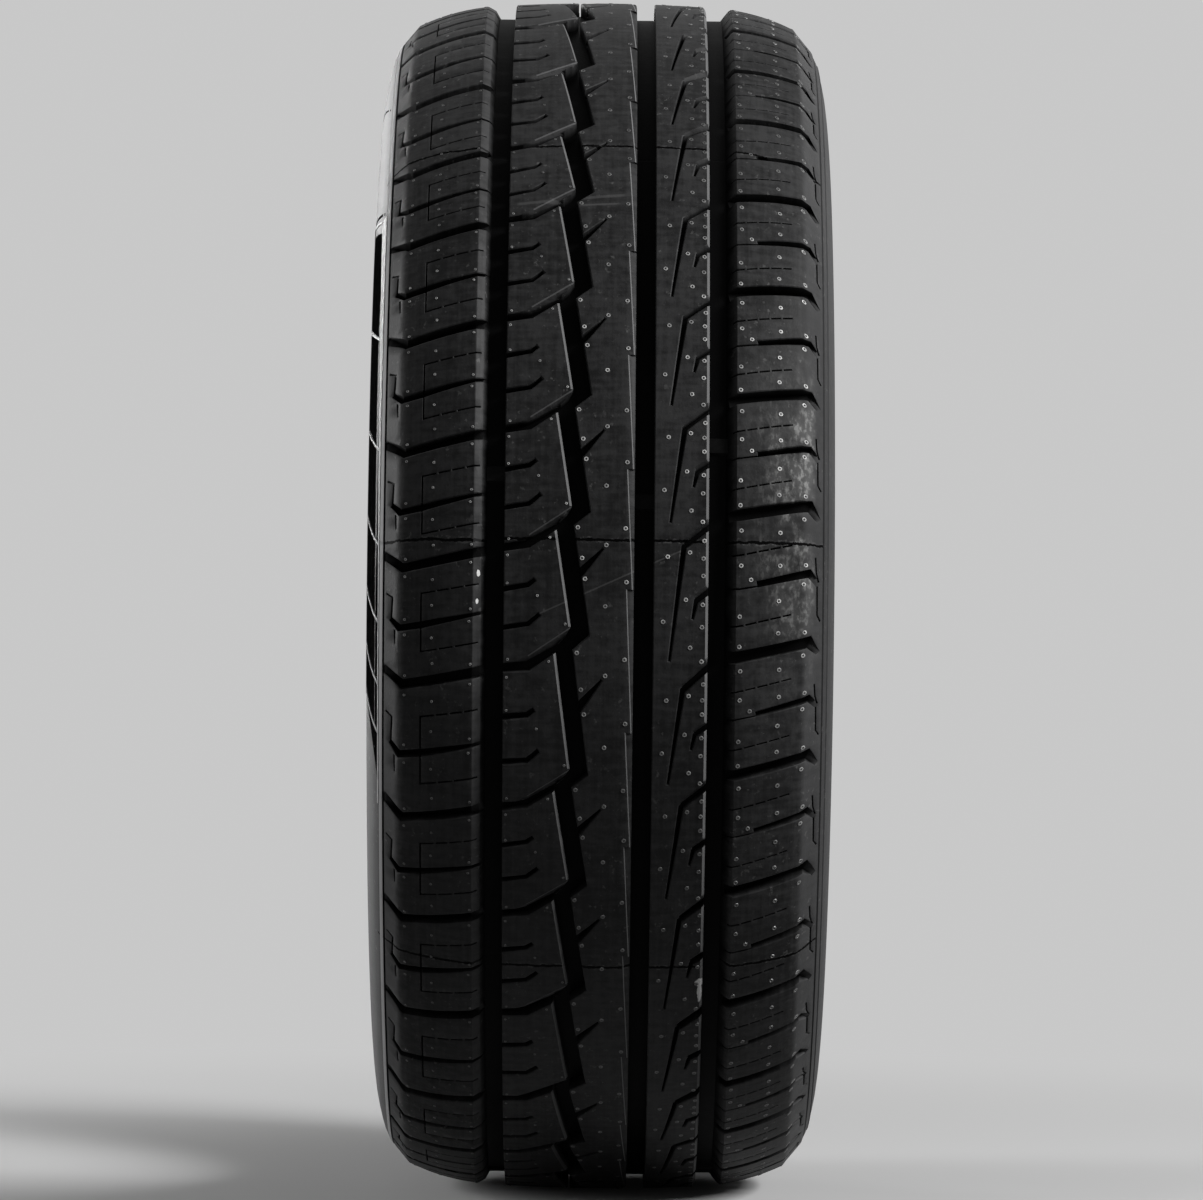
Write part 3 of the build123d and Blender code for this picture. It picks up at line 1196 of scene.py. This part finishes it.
def floor_paint():
    """Pale floor near the tyre and backdrop further away, for the rays that see it."""
    paint = bpy.data.materials.new("pale_floor")
    tree = cleared_tree(paint)
    seen = seen_directly(tree)
    matt = node_at(tree, "ShaderNodeBsdfDiffuse", Color=seen.mixed(floor_bounce, floor_grey))
    background = node_at(tree, "ShaderNodeEmission", Color=(*backdrop_grey, 1))
    distance = node_at(tree, "ShaderNodeVectorMath", Vector=object_place(tree))
    distance.operation = "LENGTH"
    far = Value(distance, "Value").fade(*floor_range)
    show_mixed(tree, "ShaderNodeOutputMaterial", far * seen, matt, background)
    return paint


def pale_floor():
    """A wide round floor under the foot of the tyre."""
    mesh = bpy.data.meshes.new("floor")
    height = (foot_flat - outer_radius) / 1000
    corners = []
    for turn in np.linspace(0, 2 * math.pi, floor_sides, endpoint=False):
        corners.append((floor_reach * math.cos(turn), floor_reach * math.sin(turn), height))
    mesh.from_pydata(corners, [], [list(range(floor_sides))])
    mesh.materials.append(floor_paint())
    return linked("floor", mesh)


def studio_world():
    """A pale world that lights softly."""
    world = bpy.data.worlds.new("studio")
    bpy.context.scene.world = world
    tree = cleared_tree(world)
    soft = node_at(tree, "ShaderNodeBackground", Color=(1, 1, 1, 1), Strength=world_light)
    shown = node_at(tree, "ShaderNodeBackground", Color=(*backdrop_grey, 1), Strength=1.0)
    show_mixed(tree, "ShaderNodeOutputWorld", seen_directly(tree), soft, shown)


def softbox(name, place, target, size, power, spread=180):
    """A soft rectangular lamp that the camera doesn't see."""
    lamp = bpy.data.lights.new(name, "AREA")
    lamp.spread = math.radians(spread)
    lamp.shape = "RECTANGLE"
    lamp.size, lamp.size_y = size
    lamp.energy = power
    made = linked(name, lamp)
    made.location = place
    made.rotation_euler = (Vector(target) - Vector(place)).to_track_quat("-Z", "Y").to_euler()
    made.visible_camera = False


def front_camera(place, lens, roll):
    """A camera that looks straight at the front of the tread."""
    settings = bpy.data.cameras.new("camera")
    settings.sensor_width = 36.0
    settings.lens = lens
    made = linked("camera", settings)
    made.location = place
    made.rotation_euler = Vector((-1, 0, 0)).to_track_quat("-Z", "Y").to_euler()
    made.rotation_euler.rotate_axis("Z", math.radians(roll))
    bpy.context.scene.camera = made


floor = pale_floor()
studio_world()
softbox("key", place=(1.1, 2.6, 1.75), target=(0.1, 0, 0), size=(1.3, 1.3), power=150)
softbox("left_rim", place=(-0.95, -2.8, 0.5), target=(0, 0, 0.05), size=(0.9, 1.5), power=80)
softbox("left_back", place=(-2.6, -1.6, 0.6), target=(0, -0.1, 0.1), size=(0.7, 1.2), power=0.9, spread=18)
softbox("right_back", place=(-2.5, 1.7, 0.6), target=(0, 0.1, 0.05), size=(0.7, 1.2), power=0.14, spread=18)
front_camera(place=(3.538, 0.0004, -0.0022), lens=194.2, roll=0.55)
bpy.context.scene.view_settings.view_transform = "Standard"
